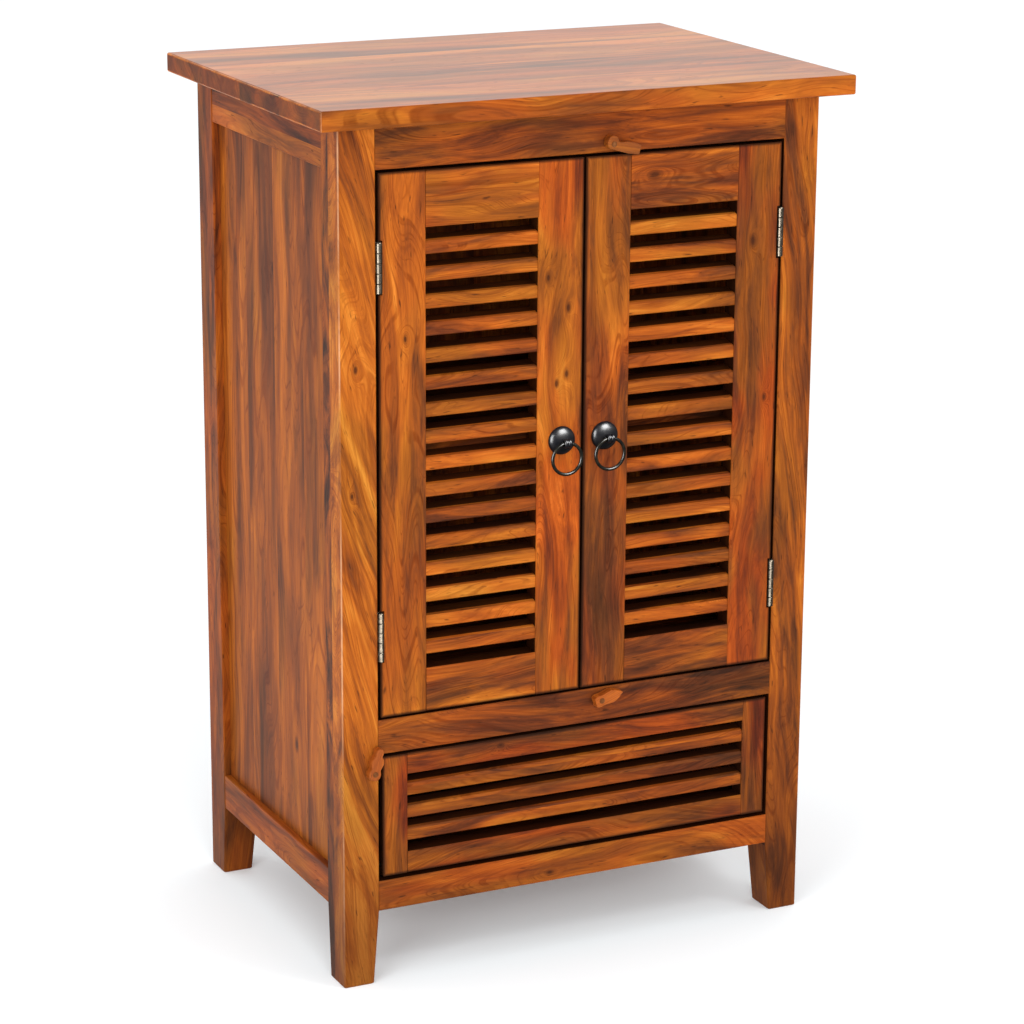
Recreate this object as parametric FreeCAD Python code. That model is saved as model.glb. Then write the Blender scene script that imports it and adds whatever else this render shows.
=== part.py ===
import FreeCAD, Part
import math
import os

os.makedirs("parts", exist_ok=True)

# Louvred cabinet in solid rosewood: two inset louvred doors over a louvred drop flap, each held shut
# by a carved turn-button, on a frame of four tapered posts.
# Millimetres, +Z up, front towards -Y. The origin is on the floor, under the middle of the top board.

# Overall
height = 900.0
top_width = 580.0
top_depth = 420.0
top_thickness = 20.0
side_overhang = 27.0
front_overhang = 26.0
back_overhang = 16.0

# Posts and legs
post_width = 39.0
post_depth = 42.0
front_stave = 24.0
leg_height = 78.0
foot_width = 33.0
foot_depth = 36.0
foot_ease = 1.2
post_arris = 1.2

# Rails of the carcass
rail_thickness = 22.0
rail_setback = 0.6
top_rail_height = 44.0
middle_rail_height = 36.0
middle_rail_top = 282.0
bottom_rail_height = 32.0
rail_arris = 0.8
side_top_rail_height = 46.0
side_bottom_rail_height = 38.0
tenon_length = 18.0
tenon_thickness = 9.0

# Panels, boards and blocks
panel_thickness = 12.0
panel_recess = 8.0
groove_depth = 6.0
top_planks = 4
side_planks = 4
back_planks = 5
board_thickness = 15.0
board_arris = 2.0
board_clearance = 0.5
door_sill_lap = 8.0
shelf_height = 540.0
shelf_setback = 12.0
cleat_width = 14.0
cleat_height = 15.0
corner_block = 30.0
corner_block_height = 25.0
door_stop_thickness = 12.0
door_stop_height = 28.0
door_stop_lap = 11.0
flap_stop_width = 30.0
flap_stop_thickness = 16.0
flap_stop_height = 30.0
flap_stop_lap = 11.0
flap_stop_inset = 150.0

# Doors
door_thickness = 22.0
door_gap = 3.0
meeting_gap = 2.5
door_stile = 49.5
door_top_rail = 56.0
door_bottom_rail = 45.0
door_slats = 16
door_tenon_length = 24.0

# Flap
flap_thickness = 20.0
flap_side_gap = 4.5
flap_top_gap = 3.0
flap_bottom_gap = 5.0
flap_stile = 27.0
flap_top_rail = 22.0
flap_bottom_rail = 22.5
flap_slats = 3
flap_tenon_length = 14.0
flap_pivot_rise = 10.0
flap_pivot_setback = 9.5
pivot_pin_radius = 3.0
pivot_pin_depth = 10.0

# Louvre slats
slat_edge = 13.0
slat_tilt = 12.0
slat_setback = 1.5
slat_housing = 5.0
slat_arris = 1.4

# Butt hinges, from the ends of the door to the middle of each
lower_hinge_rise = 84.0
upper_hinge_drop = 92.0
hinge_height = 50.0
hinge_proud = 1.0
knuckle_count = 5
knuckle_play = 0.15
leaf_thickness = 1.2
leaf_width = 20.0
leaf_relief = 0.4
hinge_pin_radius = 1.4
hinge_pin_head_radius = 2.4
hinge_pin_head = 1.0
knuckle_notch = 0.9

# Ring pulls
pull_offset = 24.0
pull_drop = 9.5
rose_radius = 14.5
rose_rim = 1.2
rose_dome = 8.5
rose_sides = 24
rose_steps = 4
eye_reach = 14.0
eye_radius = 4.75
eye_bore = 2.8
eye_shoulder = 2.2
bolt_radius = 2.2
bolt_clearance = 0.4
nut_width = 9.0
nut_thickness = 3.5
ring_radius = 16.0
ring_wire = 1.75
ring_sides = 32
wire_sides = 6

# Turn-buttons
button_thickness = 9.0
button_clearance = 0.8
button_head_radius = 7.0
button_lobe_radius = 6.8
button_lobe_offset = 13.0
button_neck = 10.4
button_tip_radius = 2.8
button_ease = 1.8
button_aside_angle = 75.0
lobe_steps = 6
tip_steps = 4
top_button_offset = 26.0
top_button_rise = 9.4
top_button_reach = 27.5
middle_button_offset = 21.0
middle_button_drop = 11.2
middle_button_reach = 21.8
flap_button_inset = 7.5
flap_button_drop = 13.5
flap_button_reach = 24.9
screw_radius = 2.0
screw_depth = 15.0
screw_head_radius = 3.6
screw_head_height = 1.8

# Fits and flats
small_round_sides = 12
running_clearance = 0.08
face_clearance = 0.2
same_place = 1e-6

# Places that follow from the sizes
half_carcass = top_width / 2 - side_overhang
front = -top_depth / 2 + front_overhang
back = top_depth / 2 - back_overhang
half_opening = half_carcass - post_width
front_post_back = front + post_depth
back_post_front = back - post_depth
under_top = height - top_thickness
head_rail_bottom = under_top - top_rail_height
middle_rail_bottom = middle_rail_top - middle_rail_height
sill_top = leg_height + bottom_rail_height
tenon_shoulder = groove_depth
rail_front = front + rail_setback
rail_back = rail_front + rail_thickness
side_rail_outer = half_carcass - rail_setback
side_rail_inner = side_rail_outer - rail_thickness
side_panel_outer = half_carcass - panel_recess
side_panel_inner = side_panel_outer - panel_thickness
back_rail_outer = back - rail_setback
back_rail_inner = back_rail_outer - rail_thickness
back_panel_outer = back - panel_recess
back_panel_inner = back_panel_outer - panel_thickness
door_edge = half_opening - door_gap
door_low = middle_rail_top + door_gap
door_high = head_rail_bottom - door_gap
flap_low = sill_top + flap_bottom_gap
flap_high = middle_rail_bottom - flap_top_gap
flap_edge = half_opening - flap_side_gap
hinge_heights = (door_low + lower_hinge_rise, door_high - upper_hinge_drop)
knuckle_radius = door_gap
knuckle_bore = (hinge_pin_radius + running_clearance) / math.cos(math.pi / small_round_sides)
hinge_axis_y = front - hinge_proud
flap_pivot_y = front + flap_pivot_setback
flap_pivot_z = flap_low + flap_pivot_rise
pull_height = (door_low + door_high) / 2 - pull_drop
top_button_place = (top_button_offset, head_rail_bottom + top_button_rise)
middle_button_place = (middle_button_offset, middle_rail_top - middle_button_drop)
flap_button_place = (-half_opening - flap_button_inset, flap_high - flap_button_drop)

V = FreeCAD.Vector
X = V(1, 0, 0)
Y = V(0, 1, 0)
Z = V(0, 0, 1)


def save(node, solids):
    """Write one node: a single solid, or several that belong together."""
    shape = solids[0] if len(solids) == 1 else Part.makeCompound(solids)
    shape.exportStep("parts/" + node + ".step")


def save_pair(name, solids):
    """Write a right-hand node and its mirror image on the left."""
    save("right_" + name, solids)
    save("left_" + name, [mirrored(solid) for solid in solids])


def mirrored(shape):
    return shape.mirror(V(0, 0, 0), X)


def box(x, y, z):
    """Box between two coordinates on each axis."""
    return Part.makeBox(x[1] - x[0], y[1] - y[0], z[1] - z[0], V(x[0], y[0], z[0]))


def eased(shape, arris, direction):
    """Take off the straight edges that run along a direction."""
    def runs_along(edge):
        return edge.tangentAt(edge.FirstParameter).cross(direction).Length < same_place
    return shape.makeChamfer(arris, [edge for edge in shape.Edges if runs_along(edge)])


def bar(x, y, z, direction):
    """Planed stick with its long arrises eased."""
    return eased(box(x, y, z), rail_arris, direction)


def about(middle, size):
    return (middle - size / 2, middle + size / 2)


def prism(outline, span):
    """Straight piece from a flat outline of points."""
    return Part.Face(Part.makePolygon(outline + outline[:1])).extrude(span)


def round_bar(start, radius, span):
    """Small round bar along one axis, worked in flats with their corners at the radius."""
    spoke = V(span.y, span.z, span.x).normalize() * radius
    turns = [FreeCAD.Rotation(span, 360 * side / small_round_sides) for side in range(small_round_sides)]
    return prism([start + turn.multVec(spoke) for turn in turns], span)


def turned(profile, axis, sides):
    """Turned piece with flat facets: a closed profile carried round an axis through the origin."""
    turns = [FreeCAD.Rotation(axis, 360 * side / sides) for side in range(sides)]
    stations = [[turn.multVec(point) for point in profile] for turn in turns]
    faces = []
    for here, there in zip(stations, stations[1:] + stations[:1]):
        for index in range(len(profile)):
            corners = [here[index - 1], here[index], there[index], there[index - 1], here[index - 1]]
            faces.append(Part.Face(Part.makePolygon(corners)))
    return Part.Solid(Part.Shell(faces))


def boards(panel, direction, count):
    """Saw a glued-up panel into its boards, side by side along a direction."""
    bounds = panel.BoundBox
    low = V(bounds.XMin, bounds.YMin, bounds.ZMin)
    size = V(bounds.XLength, bounds.YLength, bounds.ZLength)
    step = direction * (size.dot(direction) / count)
    saw = size - direction * size.dot(direction) + step
    blanks = [Part.makeBox(saw.x, saw.y, saw.z, low + step * index) for index in range(count)]
    return [panel.common(blank) for blank in blanks]


# Joints of the frames: a rail's tenons are also what cuts the mortises in its posts or stiles

def tenons_along_x(x, y, z, length, shoulder):
    thick = about(sum(y) / 2, tenon_thickness)
    tall = (z[0] + shoulder, z[1] - shoulder)
    return [box((x[0] - length, x[0]), thick, tall), box((x[1], x[1] + length), thick, tall)]


def tenons_along_y(x, y, z, length, shoulder):
    thick = about(sum(x) / 2, tenon_thickness)
    tall = (z[0] + shoulder, z[1] - shoulder)
    return [box(thick, (y[0] - length, y[0]), tall), box(thick, (y[1], y[1] + length), tall)]


def chamfered_section(x, y, z, arris):
    """Level outline of a post with its four arrises taken off."""
    outline = [V(x[0] + arris, y[0], z), V(x[1] - arris, y[0], z),
               V(x[1], y[0] + arris, z), V(x[1], y[1] - arris, z),
               V(x[1] - arris, y[1], z), V(x[0] + arris, y[1], z),
               V(x[0], y[1] - arris, z), V(x[0], y[0] + arris, z)]
    return Part.makePolygon(outline + outline[:1])


# Carcass frame

def post(outer, inward):
    """Right-hand post: its leg narrows towards the foot on the two inner faces."""
    def section(width, depth, inset, z):
        x = (half_carcass - width + inset, half_carcass - inset)
        y = sorted((outer + inward * inset, outer + inward * (depth - inset)))
        return chamfered_section(x, y, z, post_arris)
    profile = [section(foot_width, foot_depth, foot_ease, 0),
               section(foot_width, foot_depth, 0, foot_ease),
               section(post_width, post_depth, 0, leg_height),
               section(post_width, post_depth, 0, under_top)]
    return Part.makeLoft(profile, True, True)


rail_levels = {
    "top": (head_rail_bottom, under_top),
    "middle": (middle_rail_bottom, middle_rail_top),
    "bottom": (leg_height, sill_top),
}
across = (-half_opening, half_opening)
front_rails = {}
front_tenons = []
front_rail_y = (rail_front, rail_back)
for name, level in rail_levels.items():
    ends = tenons_along_x(across, front_rail_y, level, tenon_length, tenon_shoulder)
    front_tenons += ends
    front_rails[name] = bar(across, front_rail_y, level, X).fuse(ends)

back_rails = {}
back_tenons = []
back_rail_y = (back_rail_inner, back_rail_outer)
for name in ("top", "bottom"):
    ends = tenons_along_x(across, back_rail_y, rail_levels[name], tenon_length, tenon_shoulder)
    back_tenons += ends
    back_rails[name] = bar(across, back_rail_y, rail_levels[name], X).fuse(ends)

along = (front_post_back, back_post_front)
side_rail_x = (side_rail_inner, side_rail_outer)
side_levels = {
    "top": (under_top - side_top_rail_height, under_top),
    "bottom": (leg_height, leg_height + side_bottom_rail_height),
}
side_rails = {}
side_tenons = []
for name, level in side_levels.items():
    ends = tenons_along_y(side_rail_x, along, level, tenon_length, tenon_shoulder)
    side_tenons += ends
    side_rails[name] = bar(side_rail_x, along, level, Y).fuse(ends)

# Panels stand in grooves of the posts and rails
side_panel = box((side_panel_inner, side_panel_outer),
                 (along[0] - groove_depth, along[1] + groove_depth),
                 (side_levels["bottom"][1] - groove_depth, side_levels["top"][0] + groove_depth))
back_panel = box((across[0] - groove_depth, across[1] + groove_depth),
                 (back_panel_inner, back_panel_outer),
                 (rail_levels["bottom"][1] - groove_depth, rail_levels["top"][0] + groove_depth))

for name, rail in side_rails.items():
    save_pair("side_" + name + "_rail", [rail.cut(side_panel)])
save_pair("side_panel", boards(side_panel, Y, side_planks))
save("back_panel", boards(back_panel, X, back_planks))


# Turn-buttons: each pivots on a round-headed screw in the frame, and its nose laps a door or the flap

def along_circle(drop, radius, first, last, steps):
    """Points round a circle centred below the pivot; angles count from straight down."""
    angles = [first + (last - first) * step / steps for step in range(steps + 1)]
    return [V(radius * math.sin(angle), 0, -drop - radius * math.cos(angle)) for angle in angles]


def tapered_lobe(reach):
    """Lobe and nose in one: an outline that wraps a large circle and a small one."""
    lean = math.acos((button_lobe_radius - button_tip_radius) / (reach - button_lobe_offset))
    nose = along_circle(reach, button_tip_radius, -lean, lean, tip_steps)
    lobe = along_circle(button_lobe_offset, button_lobe_radius, lean, 2 * math.pi - lean, lobe_steps)
    return prism(nose + lobe, Y * -button_thickness)


def front_eased(solid):
    """Take off the edges that lie in the front face of a button."""
    def in_front(edge):
        return all(abs(v.Point.y + button_thickness) < same_place for v in edge.Vertexes)
    return solid.makeChamfer(button_ease, [edge for edge in solid.Edges if in_front(edge)])


def turn_button(place, reach, seat, angle):
    """Carved toggle: round head, waist, lobe and nose, swung aside about its screw."""
    head = round_bar(V(0, 0, 0), button_head_radius, Y * -button_thickness)
    lobe = tapered_lobe(reach)
    neck = box(about(0, button_neck), (-button_thickness + button_ease, 0), (-button_lobe_offset, 0))
    body = front_eased(head).fuse([front_eased(lobe), neck])
    boss_height = seat - front + button_clearance - face_clearance
    boss = round_bar(V(0, 0, 0), button_neck / 2, Y * boss_height)
    bore = Part.makeCylinder(screw_radius + running_clearance, button_thickness + boss_height,
                             V(0, boss_height, 0), -Y)
    button = body.fuse(boss).cut(bore)
    button.rotate(V(0, 0, 0), -Y, angle)
    button.translate(V(place[0], front - button_clearance, place[1]))
    return button


def button_screw(place, seat):
    """Round-headed screw, and the pilot hole that it fills in the frame."""
    under_head = front - button_clearance - button_thickness - face_clearance
    seat_of_head = V(place[0], under_head, place[1])
    shank = Part.makeCylinder(screw_radius, seat + screw_depth - under_head, seat_of_head, Y)
    head = round_bar(seat_of_head, screw_head_radius, Y * -screw_head_height)
    return shank.fuse(head), shank


# Angles turn the nose anticlockwise from straight down, as seen from the front
top_button_angle = button_aside_angle
middle_button_angle = 180 - button_aside_angle
flap_button_angle = 90 + button_aside_angle
save("top_turn_button", [turn_button(top_button_place, top_button_reach, rail_front, top_button_angle)])
save("middle_turn_button", [turn_button(middle_button_place, middle_button_reach, rail_front,
                                        middle_button_angle)])
save("flap_turn_button", [turn_button(flap_button_place, flap_button_reach, front, flap_button_angle)])
top_screw, top_pilot = button_screw(top_button_place, rail_front)
middle_screw, middle_pilot = button_screw(middle_button_place, rail_front)
flap_screw, flap_pilot = button_screw(flap_button_place, front)
save("turn_button_screws", [top_screw, middle_screw, flap_screw])

save("front_top_rail", [front_rails["top"].cut(top_pilot)])
save("front_middle_rail", [front_rails["middle"].cut(middle_pilot)])
save("front_bottom_rail", [front_rails["bottom"]])
save("back_top_rail", [back_rails["top"].cut(back_panel)])
save("back_bottom_rail", [back_rails["bottom"].cut(back_panel)])

# Flap pivots: a pin from each stile of the flap turns in the post beside it
pivot_start = V(flap_edge - pivot_pin_depth, flap_pivot_y, flap_pivot_z)
pin_length = flap_side_gap + 2 * pivot_pin_depth
pivot_pin = Part.makeCylinder(pivot_pin_radius, pin_length, pivot_start, X)
pivot_hole = Part.makeCylinder(pivot_pin_radius + running_clearance, pin_length + face_clearance,
                               pivot_start, X)
save("flap_pivot_pins", [pivot_pin, mirrored(pivot_pin)])

# Posts: the front ones are glued up from two staves
full_width = (-half_carcass, half_carcass)
full_height = (0, under_top)
stave_joint = front + front_stave
front_post = post(front, 1).cut(front_tenons + side_tenons + [side_panel, pivot_hole])
right_staves = [front_post.common(box(full_width, (front, stave_joint), full_height)),
                front_post.common(box(full_width, (stave_joint, front_post_back), full_height))]
left_staves = [mirrored(stave).cut(flap_pilot) for stave in right_staves]
save("front_right_post", right_staves)
save("front_left_post", left_staves)
back_post = post(back, -1).cut(back_tenons + side_tenons + [side_panel, back_panel])
save("back_right_post", [back_post])
save("back_left_post", [mirrored(back_post)])

# Top board, its corner blocks, and the boards inside on their cleats
top = box(about(0, top_width), about(0, top_depth), (under_top, height))
save("top_board", boards(top.makeChamfer(board_arris, top.Edges), Y, top_planks))

block_z = (under_top - corner_block_height, under_top)
block_x = (side_rail_inner - corner_block, side_rail_inner)
block_depths = ((front_post_back, front_post_back + corner_block),
                (back_post_front - corner_block, back_post_front))
blocks = [box(block_x, depth, block_z) for depth in block_depths]
save("corner_blocks", blocks + [mirrored(block) for block in blocks])


def inner_board(half_width, y, underside):
    """Board between the side frames, notched round the posts."""
    board = box(about(0, 2 * half_width), y, (underside, underside + board_thickness))
    notch_x = (half_opening - board_clearance, half_carcass)
    notches = [box(notch_x, (front, front_post_back + board_clearance), full_height),
               box(notch_x, (back_post_front - board_clearance, back), full_height)]
    return board.cut(notches + [mirrored(notch) for notch in notches])


def cleats(outer, top_z):
    """Strips under both ends of a board."""
    strip = box((outer - cleat_width, outer), along, (top_z - cleat_height, top_z))
    return [strip, mirrored(strip)]


bottom_underside = sill_top - board_thickness
middle_underside = middle_rail_top + door_sill_lap - board_thickness
shelf_front = rail_back + shelf_setback
panel_face = side_panel_inner - board_clearance
save("bottom_board", [inner_board(side_rail_inner - board_clearance, (rail_back, back_rail_inner),
                                  bottom_underside)])
save("middle_board", [inner_board(panel_face, (rail_back, back_panel_inner), middle_underside)])
save("shelf", [inner_board(panel_face, (shelf_front, back_panel_inner - board_clearance), shelf_height)])
save("board_cleats", cleats(side_rail_inner, bottom_underside) + cleats(side_panel_inner, middle_underside))
save("shelf_cleats", cleats(side_panel_inner, shelf_height))

# Stops: a strip behind the door heads, and two blocks behind the head of the flap
stop_low = head_rail_bottom - door_gap - door_stop_lap
door_stop = bar(about(0, 2 * (half_opening - board_clearance)),
                (rail_back, rail_back + door_stop_thickness),
                (stop_low, stop_low + door_stop_height), X)
save("door_stop", [door_stop])
flap_back = front + flap_thickness
flap_stop_low = flap_high - flap_stop_lap
stop_block = box((flap_stop_inset, flap_stop_inset + flap_stop_width),
                 (flap_back + board_clearance, rail_back + flap_stop_thickness),
                 (flap_stop_low, flap_stop_low + flap_stop_height))
stop_block = stop_block.cut(box(full_width, (front, rail_back), (middle_rail_bottom, middle_rail_top)))
save("flap_stops", [stop_block, mirrored(stop_block)])


# Louvred frames: the doors and the flap

def slat(x, y, low):
    """One slat: plumb front edge, faces that fall towards the front."""
    rise = (y[1] - y[0]) * math.tan(math.radians(slat_tilt))
    outline = [V(x[0], y[0], low), V(x[0], y[1], low + rise),
               V(x[0], y[1], low + rise + slat_edge), V(x[0], y[0], low + slat_edge)]
    return prism(outline, X * (x[1] - x[0]))


def louvred_frame(x, z, thickness, stile, low_rail, high_rail, count, tenon):
    """Stiles, rails and slats; the slats stand in housings cut in the stiles."""
    y = (front, front + thickness)
    inside = (x[0] + stile, x[1] - stile)
    levels = {"bottom": (z[0], z[0] + low_rail), "top": (z[1] - high_rail, z[1])}
    gap = (levels["top"][0] - levels["bottom"][1] - count * slat_edge) / (count + 1)
    slat_x = (inside[0] - slat_housing, inside[1] + slat_housing)
    slat_y = (y[0] + slat_setback, y[1] - slat_setback)
    blanks = [slat(slat_x, slat_y, levels["bottom"][1] + gap + index * (gap + slat_edge))
              for index in range(count)]
    tenons = {name: tenons_along_x(inside, y, level, tenon, tenon_shoulder)
              for name, level in levels.items()}
    housings = blanks + tenons["bottom"] + tenons["top"]
    return {
        "low_x_stile": bar((x[0], inside[0]), y, z, Z).cut(housings),
        "high_x_stile": bar((inside[1], x[1]), y, z, Z).cut(housings),
        "bottom_rail": bar(inside, y, levels["bottom"], X).fuse(tenons["bottom"]),
        "top_rail": bar(inside, y, levels["top"], X).fuse(tenons["top"]),
        "slats": [eased(blank, slat_arris, X) for blank in blanks],
    }


# Ring pulls: a domed rose, an eye bolt through the stile with a square nut, and a ring in the eye.
# They are made on the middle plane and moved to each door.

def save_pulls(name, solid):
    for side, x in (("left", -pull_offset), ("right", pull_offset)):
        placed = solid.copy()
        placed.translate(V(x, front, pull_height))
        save(side + "_" + name, [placed])


bolt = round_bar(V(0, -eye_reach, 0), bolt_radius, Y * (eye_reach + door_thickness + nut_thickness))
bolt_hole = Part.makeCylinder(bolt_radius + bolt_clearance, door_thickness,
                              V(pull_offset, front, pull_height), Y)
dome = [V(bolt_radius, -rose_dome, 0), V(bolt_radius, 0, 0), V(rose_radius, 0, 0)]
for step in range(rose_steps):
    turn = math.pi / 2 * step / rose_steps
    dome.append(V(rose_radius * math.cos(turn), -rose_rim - (rose_dome - rose_rim) * math.sin(turn), 0))
rose = turned(dome, Y, rose_sides).cut(bolt)
half_bead = math.sqrt(eye_radius ** 2 - eye_bore ** 2)
bead = turned([V(-half_bead, eye_bore, 0), V(half_bead, eye_bore, 0),
               V(eye_shoulder, eye_radius, 0), V(-eye_shoulder, eye_radius, 0)], X, small_round_sides)
bead.translate(V(0, -eye_reach, 0))
eye_hole = Part.makeCylinder(eye_bore, 2 * eye_radius, V(-eye_radius, -eye_reach, 0), X)
nut = box(about(0, nut_width), (door_thickness, door_thickness + nut_thickness), about(0, nut_width))
wire = []
for side in range(wire_sides):
    turn = 2 * math.pi * side / wire_sides
    wire.append(V(ring_radius + ring_wire * math.cos(turn), ring_wire * math.sin(turn), 0))
ring = turned(wire, Y, ring_sides)
ring.translate(V(0, -eye_reach, -ring_radius))

save_pulls("pull_rose", rose)
save_pulls("pull_eye", bead.fuse(bolt).cut(eye_hole))
save_pulls("pull_nut", nut.cut(bolt))
save_pulls("pull_ring", ring)


# Butt hinges: the knuckles stand a little proud of the door and share one pin

def on_hinge_axis(radius, low, high):
    return round_bar(V(door_edge, hinge_axis_y, low), radius, Z * (high - low))


def hinge(middle):
    """Frame leaf, door leaf, pin and notch of one right-hand hinge."""
    low, high = about(middle, hinge_height)
    pitch = hinge_height / knuckle_count
    frame_x = (half_opening - leaf_thickness, half_opening)
    door_x = (door_edge, door_edge + leaf_thickness)
    leaf_y = (hinge_axis_y + knuckle_radius + leaf_relief, hinge_axis_y + knuckle_radius + leaf_width)
    frame_pieces = [box(frame_x, leaf_y, (low, high))]
    door_pieces = [box(door_x, leaf_y, (low, high))]
    for index in range(knuckle_count):
        span = (low + index * pitch + knuckle_play, low + (index + 1) * pitch - knuckle_play)
        knuckle = on_hinge_axis(knuckle_radius, *span)
        if index % 2 == 0:
            frame_pieces += [knuckle, box(frame_x, (hinge_axis_y, leaf_y[0]), span)]
        else:
            door_pieces += [knuckle, box(door_x, (hinge_axis_y, leaf_y[0]), span)]
    bore = on_hinge_axis(knuckle_bore, low, high)
    leaves = [pieces[0].fuse(pieces[1:]).cut(bore) for pieces in (frame_pieces, door_pieces)]
    top_of_barrel = high - knuckle_play
    shank = Part.makeCylinder(hinge_pin_radius, top_of_barrel - low, V(door_edge, hinge_axis_y, low), Z)
    pin = shank.fuse(on_hinge_axis(hinge_pin_head_radius, top_of_barrel, top_of_barrel + hinge_pin_head))
    reach = knuckle_radius + knuckle_notch
    notch = box((door_edge - reach, door_edge), (front, hinge_axis_y + reach),
                (low - hinge_pin_head - knuckle_notch, high + hinge_pin_head + knuckle_notch))
    return leaves[0], leaves[1], pin, notch


hinges = [hinge(middle) for middle in hinge_heights]
frame_leaves, door_leaves, hinge_pins, notches = [list(group) for group in zip(*hinges)]
save_pair("frame_leaves", frame_leaves)
save_pair("door_leaves", door_leaves)
save("hinge_pins", hinge_pins + [mirrored(pin) for pin in hinge_pins])

# Doors
door = louvred_frame((meeting_gap / 2, door_edge), (door_low, door_high), door_thickness, door_stile,
                     door_bottom_rail, door_top_rail, door_slats, door_tenon_length)
save_pair("door_hinge_stile", [door["high_x_stile"].cut(notches)])
save_pair("door_meeting_stile", [door["low_x_stile"].cut(bolt_hole)])
save_pair("door_top_rail", [door["top_rail"]])
save_pair("door_bottom_rail", [door["bottom_rail"]])
save_pair("door_slats", door["slats"])

# Flap
flap = louvred_frame((-flap_edge, flap_edge), (flap_low, flap_high), flap_thickness, flap_stile,
                     flap_bottom_rail, flap_top_rail, flap_slats, flap_tenon_length)
save("flap_left_stile", [flap["low_x_stile"].cut(mirrored(pivot_pin))])
save("flap_right_stile", [flap["high_x_stile"].cut(pivot_pin)])
save("flap_top_rail", [flap["top_rail"]])
save("flap_bottom_rail", [flap["bottom_rail"]])
save("flap_slats", flap["slats"])
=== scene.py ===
import math

import bmesh
import bpy
from mathutils import Matrix, Vector


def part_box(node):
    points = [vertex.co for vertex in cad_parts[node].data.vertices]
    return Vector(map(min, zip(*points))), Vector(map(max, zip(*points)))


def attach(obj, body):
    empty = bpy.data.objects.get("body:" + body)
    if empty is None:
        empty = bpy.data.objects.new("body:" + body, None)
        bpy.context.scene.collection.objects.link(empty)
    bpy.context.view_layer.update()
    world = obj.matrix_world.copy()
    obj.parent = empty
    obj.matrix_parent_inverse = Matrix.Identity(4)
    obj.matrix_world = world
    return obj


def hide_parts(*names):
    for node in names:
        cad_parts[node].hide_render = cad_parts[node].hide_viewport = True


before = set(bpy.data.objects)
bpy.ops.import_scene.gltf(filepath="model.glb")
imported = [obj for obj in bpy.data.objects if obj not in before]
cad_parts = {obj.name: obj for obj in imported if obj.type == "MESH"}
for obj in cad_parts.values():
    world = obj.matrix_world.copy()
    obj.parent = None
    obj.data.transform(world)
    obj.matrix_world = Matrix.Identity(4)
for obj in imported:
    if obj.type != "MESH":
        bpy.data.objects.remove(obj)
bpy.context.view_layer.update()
scene = bpy.context.scene


# Camera. It stands to the left of the cabinet and looks a little down on it, with a long lens on a
# full-frame body.
camera_place = Vector((-1.46829, -3.08716, 1.40420))
camera_yaw, camera_pitch, camera_roll = -0.446641, 0.279253, 0.005698
camera = bpy.data.objects.new("camera", bpy.data.cameras.new("camera"))
scene.collection.objects.link(camera)
camera.data.lens = 118.07
camera.data.sensor_width = 36.0
camera.data.clip_end = 60.0
level = Vector((-math.sin(camera_yaw), math.cos(camera_yaw), 0))
across = Vector((math.cos(camera_yaw), math.sin(camera_yaw), 0))
forward = level * math.cos(camera_pitch) - Vector((0, 0, math.sin(camera_pitch)))
upward = level * math.sin(camera_pitch) + Vector((0, 0, math.cos(camera_pitch)))
right = across * math.cos(camera_roll) + upward * math.sin(camera_roll)
upward = upward * math.cos(camera_roll) - across * math.sin(camera_roll)
turn = Matrix((right, upward, -forward)).transposed().to_4x4()
camera.matrix_world = Matrix.Translation(camera_place) @ turn
scene.camera = camera


# Studio. A sheet of matt white paper runs back past the horizon in a white room, and glows a little
# as lit paper does. One large softbox stands at the front left and a small one hangs at the right. A
# low light brightens the paper alone, and three reflector cards put highlights on the metal alone.
floor_half = 30.0
floor_mesh = bpy.data.meshes.new("floor")
shape = bmesh.new()
bmesh.ops.create_grid(shape, x_segments=1, y_segments=1, size=floor_half)
shape.to_mesh(floor_mesh)
shape.free()
floor = bpy.data.objects.new("floor", floor_mesh)
scene.collection.objects.link(floor)
paper = bpy.data.materials.new("white paper")
paper.use_nodes = True
paper_shader = paper.node_tree.nodes["Principled BSDF"]
paper_shader.inputs["Base Color"].default_value = (0.860, 0.900, 0.920, 1)
paper_shader.inputs["Roughness"].default_value = 0.8
paper_shader.inputs["Specular IOR Level"].default_value = 0.1
paper_shader.inputs["Emission Color"].default_value = (1, 1, 1, 1)
paper_shader.inputs["Emission Strength"].default_value = 0.12
floor_mesh.materials.append(paper)

room = bpy.data.worlds.new("white room")
room.use_nodes = True
room.node_tree.nodes["Background"].inputs["Color"].default_value = (1, 1, 1, 1)
room.node_tree.nodes["Background"].inputs["Strength"].default_value = 1.04
scene.world = room
scene.view_settings.view_transform = "Standard"


def softbox(name, place, target, width, height, power):
    """A rectangular area light that faces its target."""
    lamp = bpy.data.lights.new(name, "AREA")
    lamp.shape = "RECTANGLE"
    lamp.size, lamp.size_y = width, height
    lamp.energy = power
    light = bpy.data.objects.new(name, lamp)
    scene.collection.objects.link(light)
    light.location = place
    light.rotation_euler = (Vector(target) - Vector(place)).to_track_quat("-Z", "Y").to_euler()
    return light


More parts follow.
